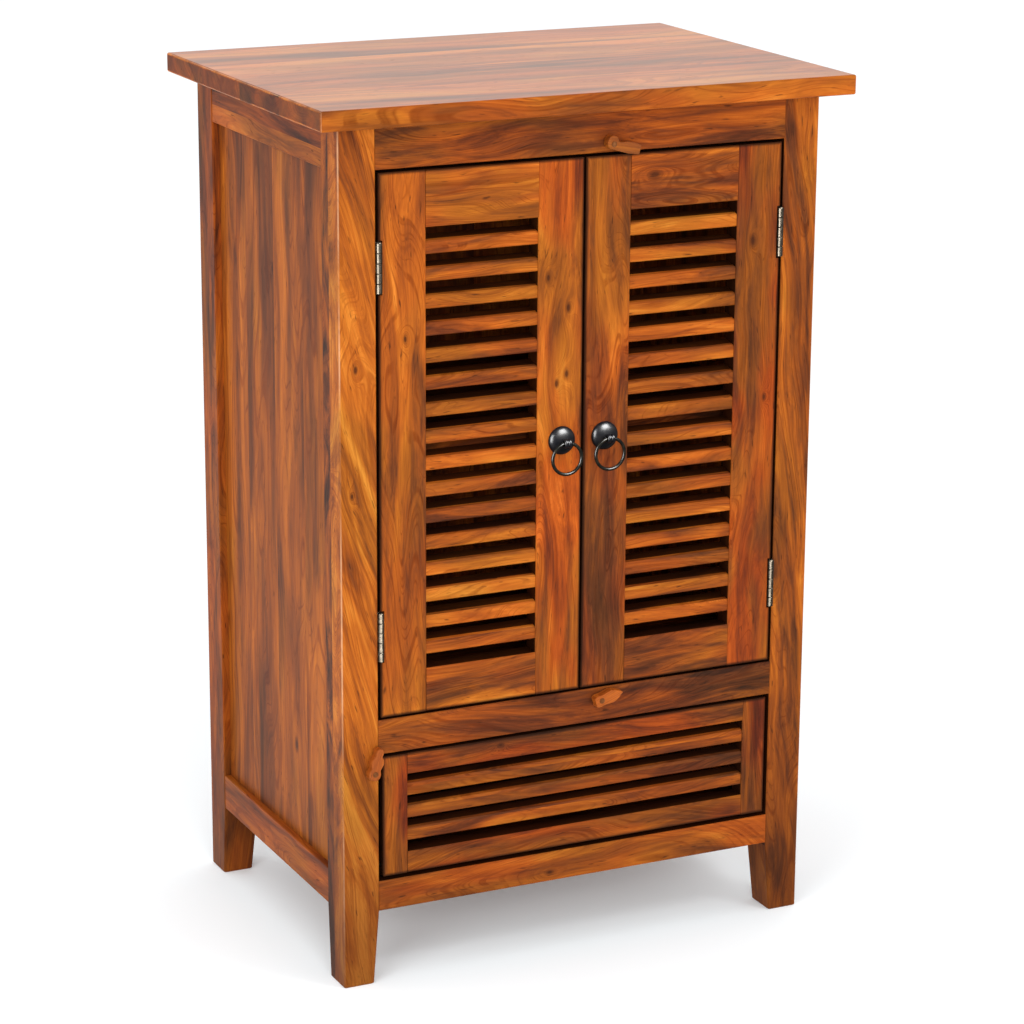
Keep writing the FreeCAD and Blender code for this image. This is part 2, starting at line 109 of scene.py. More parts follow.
softbox("front softbox", (-1.0, -3.5, 1.7), (0.0, -0.1, 0.5), width=1.0, height=0.9, power=34)
softbox("right softbox", (1.1, -1.8, 2.3), (0.0, -0.1, 0.6), width=0.6, height=0.6, power=9)
paper_only = bpy.data.collections.new("paper only")
paper_only.objects.link(floor)
low_light = softbox("low light", (-1.9, -1.5, 0.9), (-0.1, -0.2, 0.0), width=1.2, height=0.8, power=24)
low_light.light_linking.receiver_collection = paper_only
metalwork = bpy.data.collections.new("metalwork")
hinge_metal = bpy.data.collections.new("hinge metal")
pulls_place, low_hinges_place = (0.0, -0.19, 0.55), (0.0, -0.19, 0.37)
for name, place, target, width, height, power, lit in (
        ("upper card", (0.84, -2.2, 2.45), pulls_place, 1.9, 1.9, 3200, metalwork),
        ("left card", (-2.1, -1.0, 0.7), pulls_place, 1.4, 2.0, 1600, metalwork),
        ("low card", (-0.36, -0.9, 0.17), low_hinges_place, 0.9, 0.3, 100, hinge_metal)):
    card = softbox(name, place, target, width, height, power)
    card.visible_camera = False
    card.light_linking.receiver_collection = lit


# Top board. Four rosewood planks glued edge to edge, planed flush and rounded over a little at the
# edges. All the wood of the cabinet is the same rosewood under a satin lacquer: long dark streaks
# and loops of figure on honey brown, with fine open pores.
def feed(tree, socket, value):
    """Link a socket to another one, or set it to a value."""
    if isinstance(value, bpy.types.NodeSocket):
        tree.links.new(value, socket)
    else:
        socket.default_value = value


def add(tree, kind, settings=None, **links):
    """A shader node; each link or value goes to the input of that name."""
    made = tree.nodes.new(kind)
    for key, value in (settings or {}).items():
        setattr(made, key, value)
    for key, value in links.items():
        feed(tree, made.inputs[key.replace("_", " ")], value)
    return made


def maths(tree, operation, *values, kind="ShaderNodeMath"):
    """A sum on numbers; the values go to its inputs in order."""
    made = add(tree, kind, {"operation": operation})
    for socket, value in zip(made.inputs, values):
        feed(tree, socket, value)
    return made.outputs[0]


def vector_maths(tree, operation, *values):
    """A sum on vectors."""
    return maths(tree, operation, *values, kind="ShaderNodeVectorMath")


def blend_colours(tree, factor, first, second, how="MIX"):
    """Part of the second colour over the first, by factor."""
    made = add(tree, "ShaderNodeMix", {"data_type": "RGBA", "blend_type": how})
    for socket, value in ((made.inputs[0], factor), (made.inputs[6], first), (made.inputs[7], second)):
        feed(tree, socket, value)
    return made.outputs[2]


def ramp(tree, factor, stops):
    """A colour for each value of factor, from stops of (value, colour)."""
    made = tree.nodes.new("ShaderNodeValToRGB")
    tree.links.new(factor, made.inputs[0])
    points = made.color_ramp.elements
    while len(points) < len(stops):
        points.new(0.5)
    for point, (place, colour) in zip(points, stops):
        point.position = place
        point.color = (*colour, 1)
    return made.outputs[0]


def grey(value):
    """The colour that a mask has at a value."""
    return (value, value, value)


black_streak = (0.038, 0.0150, 0.0080)
dark_brown = (0.140, 0.0380, 0.0110)
red_brown = (0.300, 0.0750, 0.0110)
honey = (0.460, 0.1230, 0.0130)
pale_honey = (0.660, 0.2250, 0.0280)
redder_tint = (1.04, 0.66, 0.75, 1)
olive_tint = (0.74, 0.84, 0.80, 1)
ring_line_tint = (0.46, 0.32, 0.30, 1)
open_pore = (0.050, 0.0150, 0.0060, 1)
knot_heart = (0.045, 0.0130, 0.0060, 1)
# Painted shade for the gaps and a painted shadow round them, a painted highlight for the arrises, painted
# shade near the floor and a painted reflection for the top face
painted_gap_shade = (0.012, 0.0040, 0.0020, 1)
painted_margin_shadow = (0.020, 0.0070, 0.0030, 1)
painted_arris_highlight = (0.700, 0.380, 0.210, 1)
painted_floor_shade = (0.040, 0.0120, 0.0050, 1)
painted_sheen_tone = (0.620, 0.320, 0.190, 1)
half_door_opening = 0.2243


def rosewood(name, grain, seed, shade=0.0, red=0.4, contrast=0.82, figure=1.0, boards=None, spread=0.08,
             slope=0.0, knots=(), gloss=0.04, shaded_between=None, outline=None, painted_sheen=0.0,
             highlit_beyond=None, low_shading=0.25):
    """Lacquered rosewood with its grain along X, Y or Z.

    Shade leans it to honey or to brown, red is how red its patches are, contrast is how far its
    streaks differ, figure is how coarse (under 1) or fine they are, and slope turns upright grain off
    the plumb. Boards are (axis, start, width), their tones differ by spread, and knots are (centre,
    radius). Wood between two depths behind the front, inside the opening, is painted dark as painted
    shade in the gaps, and a narrow margin within an outline of (least and most distance from the
    middle, bottom, top) is painted dark as a painted shadow round the gaps. Gloss is the shine of the
    lacquer, and bleached is how far the colour is paled as a painted reflection of the white room.
    Arrises beyond a distance from the middle are painted pale as a painted highlight, and grimy is
    how much the wood is painted darker towards the floor, as painted shade.
    """
    wood = bpy.data.materials.new(name)
    wood.use_nodes = True
    tree = wood.node_tree
    coordinates = add(tree, "ShaderNodeTexCoord")
    place = coordinates.outputs["Object"]
    parts = add(tree, "ShaderNodeSeparateXYZ", Vector=place)
    turns = {"Z": (0, slope, 0), "X": (0, -math.pi / 2, 0), "Y": (math.pi / 2, 0, 0)}
    turned = add(tree, "ShaderNodeMapping", Vector=place, Rotation=turns[grain]).outputs[0]

    # Each board is cut from another place in the log and has a tone of its own
    number = seed
    if boards:
        axis, start, width = boards
        from_start = maths(tree, "SUBTRACT", parts.outputs[axis], start)
        number = maths(tree, "ADD", maths(tree, "FLOOR", maths(tree, "DIVIDE", from_start, width)), seed)
    chance = add(tree, "ShaderNodeTexWhiteNoise", {"noise_dimensions": "1D"}, W=number)
    log = vector_maths(tree, "MULTIPLY_ADD", chance.outputs["Color"], (7.0, 7.0, 7.0), turned)
    board_shade = maths(tree, "MULTIPLY_ADD", chance.outputs["Value"], spread, shade - spread / 2)

    # The grain wanders, and parts round each knot
    slow = vector_maths(tree, "MULTIPLY", log, (1.0, 1.0, 0.30))
    wander = add(tree, "ShaderNodeTexNoise", Vector=slow, Scale=11.0, Detail=2.0, Roughness=0.5)
    drift = vector_maths(tree, "SUBTRACT", wander.outputs["Color"], (0.5, 0.5, 0.5))
    log = vector_maths(tree, "MULTIPLY_ADD", drift, (0.06, 0.06, 0.0), log)
    knot_mask, knot_rings = None, 0.0
    for centre, radius in knots:
        offset = vector_maths(tree, "SUBTRACT", place, centre)
        drawn_out = {"Z": (1.0, 1.0, 0.5), "X": (0.5, 1.0, 1.0), "Y": (1.0, 0.5, 1.0)}[grain]
        reach = add(tree, "ShaderNodeVectorMath", {"operation": "LENGTH"})
        tree.links.new(vector_maths(tree, "MULTIPLY", offset, drawn_out), reach.inputs[0])
        near = maths(tree, "POWER", 2.0, maths(tree, "DIVIDE", reach.outputs["Value"], -radius))
        knot_rings = maths(tree, "MULTIPLY_ADD", near, 0.045, knot_rings)
        core = ramp(tree, near, [(0.42, grey(0)), (0.78, grey(0.85))])
        knot_mask = core if knot_mask is None else maths(tree, "MAXIMUM", knot_mask, core)

    # Broad soft streaks, finer streaks and a little loop figure make the tone
    broad_place = vector_maths(tree, "MULTIPLY", log, (1.0, 1.0, 0.11))
    broad = add(tree, "ShaderNodeTexNoise", Vector=broad_place, Scale=36.0 * figure, Detail=3.0,
                Roughness=0.55, Distortion=0.9).outputs["Fac"]
    fine_place = vector_maths(tree, "MULTIPLY", log, (1.0, 1.0, 0.09))
    fine = add(tree, "ShaderNodeTexNoise", Vector=fine_place, Scale=150.0 * figure, Detail=4.0,
               Roughness=0.7, Distortion=0.6).outputs["Fac"]
    sides = add(tree, "ShaderNodeSeparateXYZ", Vector=log)
    slant = maths(tree, "MULTIPLY_ADD", sides.outputs["Y"], 0.7, sides.outputs["X"])
    swept = vector_maths(tree, "MULTIPLY", log, (1.0, 1.0, 0.14))
    sweep = add(tree, "ShaderNodeTexNoise", Vector=swept, Scale=10.0, Detail=2.0).outputs["Fac"]
    ring = maths(tree, "ADD", maths(tree, "MULTIPLY_ADD", sweep, 0.26, slant), knot_rings)
    loops = add(tree, "ShaderNodeTexNoise", {"noise_dimensions": "1D"}, W=ring, Scale=70.0 * figure,
                Detail=3.0, Roughness=0.6).outputs["Fac"]
    broad_part, fine_part, loop_part = 0.62, 0.32, 0.18
    middle_tone, even_part = 0.515, 0.56
    mixed = maths(tree, "MULTIPLY_ADD", broad, broad_part * contrast, middle_tone - even_part * contrast)
    mixed = maths(tree, "MULTIPLY_ADD", fine, fine_part * contrast, mixed)
    mixed = maths(tree, "MULTIPLY_ADD", loops, loop_part * contrast, mixed)
    mixed = maths(tree, "ADD", mixed, board_shade)
    colour = ramp(tree, mixed, [(0.33, black_streak), (0.42, dark_brown), (0.50, red_brown), (0.58, honey),
                                (0.69, pale_honey)])
    patch = add(tree, "ShaderNodeTexNoise", Vector=slow, Scale=24.0, Detail=2.0).outputs["Fac"]
    patch_mask = ramp(tree, patch, [(0.44, grey(0)), (0.58, grey(red))])
    redder = blend_colours(tree, 1.0, colour, redder_tint, "MULTIPLY")
    colour = blend_colours(tree, patch_mask, colour, redder)
    olive_mask = ramp(tree, patch, [(0.36, grey(0.5)), (0.46, grey(0))])
    olive = blend_colours(tree, 1.0, colour, olive_tint, "MULTIPLY")
    colour = blend_colours(tree, olive_mask, colour, olive)

    # The rings of the tree show as thin dark lines, broken up along their length
    line = add(tree, "ShaderNodeTexNoise", {"noise_dimensions": "1D"}, W=ring, Scale=230.0 * figure,
               Detail=1.0).outputs["Fac"]
    off_line = maths(tree, "ABSOLUTE", maths(tree, "SUBTRACT", line, 0.5))
    line_mask = maths(tree, "MULTIPLY", ramp(tree, off_line, [(0.0, grey(0.70)), (0.05, grey(0))]),
                      ramp(tree, fine, [(0.40, grey(0.1)), (0.58, grey(1))]))
    lined = blend_colours(tree, 1.0, colour, ring_line_tint, "MULTIPLY")
    colour = blend_colours(tree, line_mask, colour, lined)

    # Fibres, open pores and a few short dark dashes
    threads = vector_maths(tree, "MULTIPLY", log, (1.0, 1.0, 0.03))
    fibre = add(tree, "ShaderNodeTexNoise", Vector=threads, Scale=650.0, Detail=2.0).outputs["Fac"]
    dashes = vector_maths(tree, "MULTIPLY", log, (1.0, 1.0, 0.12))
    pore = add(tree, "ShaderNodeTexNoise", Vector=dashes, Scale=480.0, Detail=1.0).outputs["Fac"]
    pore_mask = ramp(tree, pore, [(0.68, grey(0)), (0.77, grey(0.7))])
    colour = blend_colours(tree, pore_mask, colour, open_pore)
    if knot_mask is not None:
        colour = blend_colours(tree, knot_mask, colour, knot_heart)

    # Painted shade in the gaps and a painted shadow round their edges, painted highlights on the arrises,
    # and painted shade towards the floor
    if shaded_between:
        behind = maths(tree, "GREATER_THAN", parts.outputs["Y"], shaded_between[0])
        before = maths(tree, "LESS_THAN", parts.outputs["Y"], shaded_between[1])
        inside = maths(tree, "LESS_THAN", maths(tree, "ABSOLUTE", parts.outputs["X"]),
                       half_door_opening)
        gap_shaded = maths(tree, "MULTIPLY", maths(tree, "MULTIPLY", behind, before), inside)
        colour = blend_colours(tree, maths(tree, "MULTIPLY", gap_shaded, 0.92), colour, painted_gap_shade)
    # A narrow margin round the gaps is darkened, a painted shadow
    if outline:
        least, most, bottom, top = outline
        sideways = maths(tree, "ABSOLUTE", parts.outputs["X"])
        across_gap = maths(tree, "MINIMUM", maths(tree, "SUBTRACT", most, sideways),
                           maths(tree, "SUBTRACT", sideways, least))
        along_gap = maths(tree, "MINIMUM", maths(tree, "SUBTRACT", top, parts.outputs["Z"]),
                          maths(tree, "SUBTRACT", parts.outputs["Z"], bottom))
        centimetres = maths(tree, "MULTIPLY", maths(tree, "MINIMUM", across_gap, along_gap), 100.0)
        margin = ramp(tree, centimetres, [(0.08, grey(0.9)), (0.32, grey(0))])
        colour = blend_colours(tree, margin, colour, painted_margin_shadow)
    # Outer arrises are made pale, a painted highlight broken up by the patches
    if highlit_beyond is not None:
        facing = add(tree, "ShaderNodeSeparateXYZ", Vector=coordinates.outputs["Normal"])
        square = [maths(tree, "ABSOLUTE", socket) for socket in facing.outputs]
        squarest = maths(tree, "MAXIMUM", maths(tree, "MAXIMUM", square[0], square[1]), square[2])
        outside = maths(tree, "GREATER_THAN", maths(tree, "ABSOLUTE", parts.outputs["X"]), highlit_beyond)
        arris = maths(tree, "MULTIPLY", maths(tree, "LESS_THAN", squarest, 0.85), outside)
        arris_highlight = maths(tree, "MULTIPLY", arris, ramp(tree, patch, [(0.40, grey(0.1)), (0.60, grey(0.65))]))
        colour = blend_colours(tree, arris_highlight, colour, painted_arris_highlight)
    # The wood is darkened towards the floor, painted shade
    low_shade_full, low_shade_gone = 0.05, 0.30
    low_shade_mask = ramp(tree, parts.outputs["Z"], [(low_shade_full, grey(low_shading)), (low_shade_gone, grey(0))])
    colour = blend_colours(tree, low_shade_mask, colour, painted_floor_shade)
    # The colour is paled, a painted reflection of the white room on the glossy top
    if painted_sheen:
        colour = blend_colours(tree, painted_sheen, colour, painted_sheen_tone)
    lightness = maths(tree, "MULTIPLY_ADD", fibre, 0.5, 0.75)
    scaled = add(tree, "ShaderNodeVectorMath", {"operation": "SCALE"}, Scale=lightness)
    tree.links.new(colour, scaled.inputs[0])

    shader = tree.nodes["Principled BSDF"]
    tree.links.new(scaled.outputs[0], shader.inputs["Base Color"])
    rough = maths(tree, "MULTIPLY_ADD", fibre, 0.14, 0.30)
    tree.links.new(maths(tree, "MULTIPLY_ADD", pore_mask, 0.15, rough), shader.inputs["Roughness"])
    relief = maths(tree, "MULTIPLY_ADD", pore_mask, -0.8, fibre)
    bump = add(tree, "ShaderNodeBump", Height=relief, Strength=0.10, Distance=0.0004)
    tree.links.new(bump.outputs[0], shader.inputs["Normal"])
    shader.inputs["Specular IOR Level"].default_value = gloss
    return wood


def lay(wood, *names):
    """Give CAD nodes their wood."""
    for name in names:
        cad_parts[name].material_slots[0].material = wood


def piece(name, shape, materials, node, body, smooth_below=35.0, lit_with=()):
    """Turn a bmesh into an object that stands for a CAD node and moves with its body.

    Edges that turn by less than smooth_below degrees are smooth, and the cards that light the
    collections of lit_with light the piece.
    """
    bmesh.ops.remove_doubles(shape, verts=shape.verts[:], dist=1e-6)
    bmesh.ops.recalc_face_normals(shape, faces=shape.faces[:])
    mesh = bpy.data.meshes.new(name)
    shape.to_mesh(mesh)
    shape.free()
    mesh.shade_smooth()
    mesh.set_sharp_from_angle(angle=math.radians(smooth_below))
    for material in materials:
        mesh.materials.append(material)
    made = bpy.data.objects.new(name, mesh)
    scene.collection.objects.link(made)
    for collection in lit_with:
        collection.objects.link(made)
    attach(made, body)
    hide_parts(node)


planks = (1, -0.21, 0.105)
# The top face is painted paler, a painted reflection of the white room; the outer arrises of the edges carry
# a painted highlight.
top_face = rosewood("top board face", "X", 3, shade=0.03, figure=0.30, contrast=1.4, boards=planks,
                    painted_sheen=0.24, gloss=0.64)
top_edge = rosewood("top board edge", "X", 3, shade=-0.015, figure=0.6, contrast=1.0, boards=planks,
                    highlit_beyond=0.2888)
top_end = rosewood("top board end grain", "X", 3, shade=-0.085, figure=0.5, contrast=0.4, boards=planks,
                   spread=0.03)
board_low, board_high = (Vector(corner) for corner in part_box("top_board"))
arris_radius = 0.002
shape = bmesh.new()
bmesh.ops.create_cube(shape, size=1.0, matrix=Matrix.Translation((board_low + board_high) / 2)
                      @ Matrix.Diagonal((*(board_high - board_low), 1)))
bmesh.ops.bevel(shape, geom=shape.edges[:], affect="EDGES", offset=arris_radius, segments=3, profile=0.5,
                material=-1)
square_on = 0.99
for face in shape.faces:
    face.normal_update()
    if face.normal.z > square_on:
        face.material_index = 0
    else:
        face.material_index = 2 if abs(face.normal.x) > square_on else 1
piece("eased_top_board", shape, [top_face, top_edge, top_end], "top_board", "cabinet", smooth_below=5)


# Front posts with their legs, sawn from rosewood and tapered below the rails on the two inner
# faces. Each is glued up from two staves; the grain of the left one slants across the post.
# The faces inside the door opening are painted dark as painted shade, the outer arrises pale as a painted
# highlight, and the feet darker as painted shade.
post_gap = (-0.1825, -0.1425)
staves = (1, -0.56, 0.4)
outer_corner = 0.255
lay(rosewood("front left post rosewood", "Z", 37, shade=-0.005, red=0.15, contrast=0.95, slope=0.30,
             boards=staves, spread=0.16, shaded_between=post_gap, highlit_beyond=outer_corner, low_shading=0.60,
             knots=[((-0.246, -0.184, 0.643), 0.0030), ((-0.2506, -0.184, 0.517), 0.0022)]),
    "front_left_post")
lay(rosewood("front right post rosewood", "Z", 31, shade=-0.01, red=0.15, contrast=0.95, slope=0.10,
             boards=staves, shaded_between=post_gap, highlit_beyond=outer_corner, low_shading=0.60),
    "front_right_post")


# Back posts, sawn from one length of rosewood each. They have the same taper to their feet, and
# grooves for the panels in the faces that meet.
# The feet are painted darker, as painted shade.
lay(rosewood("back left post rosewood", "Z", 41, shade=-0.01, low_shading=0.45), "back_left_post")
lay(rosewood("back right post rosewood", "Z", 51, shade=-0.01, low_shading=0.45), "back_right_post")


# Front rails over, between and under the doors and the flap: planed rosewood, tenoned into the
# posts, with the arrises just eased.
# The faces towards the door gaps are painted dark as painted shade.
rail_gap = (-0.1822, -0.1614)
lay(rosewood("front top rail rosewood", "X", 60, shade=-0.015, shaded_between=rail_gap), "front_top_rail")
lay(rosewood("front middle rail rosewood", "X", 61, shade=-0.065, shaded_between=rail_gap),
    "front_middle_rail")
lay(rosewood("front bottom rail rosewood", "X", 62, shade=-0.04, red=0.6, shaded_between=rail_gap,
             knots=[((-0.032, -0.184, 0.0877), 0.0030)]), "front_bottom_rail")


# Side and back rails, tenoned into the posts and grooved for the panels. The side rails at the top
# are in two tones, paler along the lower edge.
for number, name in enumerate(("left_side_top_rail", "right_side_top_rail")):
    lay(rosewood(name + " rosewood", "Y", 70 + 2 * number, shade=-0.025, boards=(2, 0.826, 0.027),
                 spread=0.16), name)
for number, name in enumerate(("left_side_bottom_rail", "right_side_bottom_rail")):
    lay(rosewood(name + " rosewood", "Y", 74 + number, shade=-0.015), name)
for number, name in enumerate(("back_top_rail", "back_bottom_rail")):
    lay(rosewood(name + " rosewood", "X", 77 + number, shade=-0.02), name)


# Panels of the sides and the back, each glued up from upright boards and let into grooves of the
# rails and posts. Their grain is broad and soft, in browns and dull orange.
lay(rosewood("side panel rosewood", "Z", 80, shade=-0.02, red=0.1, figure=0.5, contrast=0.8,
             boards=(1, -0.148, 0.0765),
             knots=[((-0.255, -0.042, 0.215), 0.0045), ((-0.255, 0.008, 0.707), 0.0030)]),
    "left_side_panel", "right_side_panel")
lay(rosewood("back panel rosewood", "Z", 90, shade=-0.03, figure=0.5, boards=(0, -0.23, 0.092)),
    "back_panel")


# Bottom board, middle board and shelf, loose on cleats, with the stops and the corner blocks. All
# are plain rosewood under a thin coat of dark lacquer.
lay(rosewood("inside rosewood", "X", 100, shade=-0.09, contrast=0.7), "bottom_board", "middle_board",
    "shelf", "door_stop")
lay(rosewood("cleat rosewood", "Y", 105, shade=-0.09, contrast=0.7), "shelf_cleats", "board_cleats",
    "flap_stops", "corner_blocks")


# Door frames: upright stiles with the top and bottom rails tenoned between them, all flush. The
# edges round the doors and the louvre openings are painted dark, painted shade in the gaps and a
# painted shadow round them.
door_gap = (-0.1825, -0.1625)
door_outline = (0.00125, 0.221, 0.285, 0.833)
lay(rosewood("left hinge stile rosewood", "Z", 110, shade=0.025, red=0.3, shaded_between=door_gap,
             outline=door_outline, knots=[((-0.1935, -0.184, 0.6686), 0.0025)]), "left_door_hinge_stile")
lay(rosewood("left meeting stile rosewood", "Z", 121, shade=0.045, red=0.75,
             shaded_between=door_gap, outline=door_outline,
             knots=[((-0.0174, -0.184, 0.684), 0.0030), ((-0.0188, -0.184, 0.617), 0.0032),
                    ((-0.0298, -0.184, 0.608), 0.0030), ((-0.0397, -0.184, 0.716), 0.0028)]),
    "left_door_meeting_stile")
lay(rosewood("right meeting stile rosewood", "Z", 122, shade=-0.02, red=0.5, contrast=0.7,
             shaded_between=door_gap, outline=door_outline),
    "right_door_meeting_stile")
lay(rosewood("right hinge stile rosewood", "Z", 111, shade=0.0, red=0.85, contrast=0.7,
             shaded_between=door_gap, outline=door_outline,
             knots=[((0.1897, -0.184, 0.7346), 0.0040), ((0.2077, -0.184, 0.5703), 0.0026)]),
    "right_door_hinge_stile")
lay(rosewood("left door top rail rosewood", "X", 130, shade=0.045, red=0.7,
             shaded_between=door_gap, outline=door_outline),
    "left_door_top_rail")
lay(rosewood("right door top rail rosewood", "X", 131, shade=-0.04,
             shaded_between=door_gap, outline=door_outline,
             knots=[((0.0768, -0.184, 0.8101), 0.0045)]), "right_door_top_rail")
lay(rosewood("left door bottom rail rosewood", "X", 140, shade=-0.02,
             shaded_between=door_gap, outline=door_outline),
    "left_door_bottom_rail")
lay(rosewood("right door bottom rail rosewood", "X", 141, shade=-0.04,
             shaded_between=door_gap, outline=door_outline),
    "right_door_bottom_rail")


# Louvre slats of the doors, sixteen in each. They fall towards the front, stand in housings of the
# stiles, and are cut from odd lengths of rosewood, so that each has a tone of its own.
# The back of each slat's top, in the shade of the slat above, is painted dark as painted shade.
louvre_gap = (-0.1770, -0.1620)
slat_lengths = (2, 0.33, 0.0272)
lay(rosewood("left slats rosewood", "X", 150, shade=0.0, boards=slat_lengths, shaded_between=louvre_gap),
    "left_door_slats")
lay(rosewood("right slats rosewood", "X", 180, shade=0.01, boards=slat_lengths, shaded_between=louvre_gap),
    "right_door_slats")


# Drop flap under the doors: a small frame of redder rosewood, tenoned together, with three slats
# housed in its stiles.
# The faces towards the gaps are painted dark as painted shade, and a narrow margin round the flap as a
# painted shadow.
flap_gap = (-0.1825, -0.1645)
flap_outline = (-1.0, 0.2195, 0.115, 0.243)
lay(rosewood("flap stile rosewood", "Z", 200, shade=-0.035, red=1.0, boards=(0, -0.3, 0.3),
             shaded_between=flap_gap, outline=flap_outline), "flap_left_stile", "flap_right_stile")
lay(rosewood("flap rail rosewood", "X", 210, shade=-0.03, red=0.8, boards=(2, 0.0, 0.18),
             shaded_between=flap_gap, outline=flap_outline,
             knots=[((-0.0891, -0.184, 0.2363), 0.0024)]), "flap_top_rail", "flap_bottom_rail")
lay(rosewood("flap slats rosewood", "X", 220, shade=-0.015, boards=(2, 0.1375, 0.0229),
             shaded_between=louvre_gap, knots=[((0.072, -0.184, 0.2124), 0.0030)]), "flap_slats")


# Ring pulls, one on each meeting stile: a domed rose, an eye bolt through the stile with a square
# nut behind, and a ring that hangs in the eye. All are forged iron, painted glossy black, with
# bronze showing where the paint is worn.
def turned_piece(shape, profile, axis, place, steps):
    """Spin a profile of (distance from the axis, distance along it) about X, Y or Z."""
    across_axis = {"X": Vector((0, 1, 0)), "Y": Vector((1, 0, 0)), "Z": Vector((1, 0, 0))}[axis]
    along_axis = {"X": Vector((1, 0, 0)), "Y": Vector((0, 1, 0)), "Z": Vector((0, 0, 1))}[axis]
    points = [shape.verts.new(Vector(place) + across_axis * out + along_axis * far) for out, far in profile]
    edges = [shape.edges.new(pair) for pair in zip(points, points[1:])]
    bmesh.ops.spin(shape, geom=points + edges, cent=place, axis=along_axis, angle=2 * math.pi, steps=steps,
                   use_merge=True, use_duplicate=False)


def arc(middle, radius, first, last, steps):
    """Points on a circle or an ellipse, from one angle to another in degrees."""
    wide, tall = radius
    angles = [math.radians(first + (last - first) * step / steps) for step in range(steps + 1)]
    return [(middle[0] + wide * math.cos(angle), middle[1] + tall * math.sin(angle)) for angle in angles]


def forged(name, colour, worn, rough, metallic, gloss):
    """Dark metal, worn brighter in places; gloss is its specular level."""
    metal = bpy.data.materials.new(name)
    metal.use_nodes = True
    tree = metal.node_tree
    place = add(tree, "ShaderNodeTexCoord").outputs["Object"]
    cloud = add(tree, "ShaderNodeTexNoise", Vector=place, Scale=180.0, Detail=2.0).outputs["Fac"]
    tone = ramp(tree, cloud, [(0.45, colour), (0.75, worn)])
    shader = tree.nodes["Principled BSDF"]
    tree.links.new(tone, shader.inputs["Base Color"])
    tree.links.new(maths(tree, "MULTIPLY_ADD", cloud, 0.08, rough - 0.04), shader.inputs["Roughness"])
    shader.inputs["Metallic"].default_value = metallic
    shader.inputs["Specular IOR Level"].default_value = gloss
    return metal


black_iron = forged("black iron", (0.0002, 0.0002, 0.0003), (0.0006, 0.0005, 0.0005), rough=0.31,
                    metallic=0.0, gloss=0.05)
ring_iron = forged("ring iron", (0.0003, 0.0003, 0.0002), (0.0012, 0.0009, 0.0005), rough=0.24,
                   metallic=0.0, gloss=0.04)
stile_face = -0.184
pull_height = 0.5495
eye_reach = 0.014
ring_radius = 0.016
wire_radius = 0.00175
rose_radius = 0.0145
rose_dome = 0.0073
rose_rim = 0.0012
rim_ease = 0.0004
rose_profile = [(0, 0), (rose_radius - rim_ease, 0)]
rose_profile += arc((rose_radius - rim_ease, -rose_rim / 2), (rim_ease, rose_rim / 2), 90, 0, 4)
rose_profile += arc((0, -rose_rim), (rose_radius, rose_dome), 0, -90, 16)
eye_hole = 0.0028
eye_half_width = 0.0036
bead_out, bead_along = 0.00315, 0.0021
bead_radii = (0.0016, 0.0020)
bead_profile = [(eye_hole, -eye_half_width)] + arc((bead_out, -bead_along), bead_radii, -80, 62, 10)
bead_profile += arc((bead_out, bead_along), bead_radii, -62, 80, 10)
bead_profile += [(eye_hole, eye_half_width), (eye_hole, -eye_half_width)]
shank_radius = 0.0022
shank_start, shank_end = 0.0032, 0.0395
tip_ease = 0.0004
shank_profile = [(0, shank_start), (shank_radius, shank_start), (shank_radius, shank_end - tip_ease),
                 (shank_radius - tip_ease, shank_end), (0, shank_end)]
wire_profile = arc((ring_radius, 0), (wire_radius, wire_radius), 0, 360, 16)
for side, x in (("left", -0.024), ("right", 0.024)):
    eye_centre = Vector((x, stile_face - eye_reach, pull_height))
    shape = bmesh.new()
    turned_piece(shape, rose_profile, "Y", (x, stile_face, pull_height), steps=64)
    piece(side + "_rose", shape, [black_iron], side + "_pull_rose", side + "_door", lit_with=[metalwork])

    shape = bmesh.new()
    turned_piece(shape, bead_profile, "X", eye_centre, steps=40)
    turned_piece(shape, shank_profile, "Y", eye_centre, steps=32)
    piece(side + "_eye_bolt", shape, [black_iron], side + "_pull_eye", side + "_door", lit_with=[metalwork])

    shape = bmesh.new()
    ring_centre = eye_centre - Vector((0, 0, ring_radius))
    turned_piece(shape, wire_profile, "Y", ring_centre, steps=72)
    piece(side + "_ring_wire", shape, [ring_iron], side + "_pull_ring", side + "_ring", lit_with=[metalwork])
    lay(black_iron, side + "_pull_nut")


# Butt hinges, two to a door: rolled steel leaves with five knuckles on one pin, let into a notch of
# the door's edge. The barrels catch a bright line of light along the middle and are dark at the sides.
steel = forged("hinge steel", (0.0100, 0.0085, 0.0065), (0.0155, 0.0130, 0.0100), rough=0.36,
               metallic=1.0, gloss=0.5)
hinge_middles = (0.369, 0.741)
hinge_x, hinge_y = 0.221, -0.185
hinge_height = 0.050
knuckles = 5
knuckle_pitch = hinge_height / knuckles
knuckle_radius = 0.003
knuckle_play = 0.00015
barrel_ease = 0.0004
leaf_spans = {"frame": (0.2228, 0.224), "door": (0.221, 0.2222)}
first_knuckle = {"frame": 0, "door": 1}
leaf_front, leaf_back = -0.1816, -0.162
strap_back = -0.1814
leaf_ease = 0.0002


def barrel(shape, radius, x, low, high):
    """Round bar along Z with eased ends."""
    profile = [(0, low), (radius - barrel_ease, low), (radius, low + barrel_ease),
               (radius, high - barrel_ease), (radius - barrel_ease, high), (0, high)]
    turned_piece(shape, profile, "Z", (x, hinge_y, 0), steps=32)


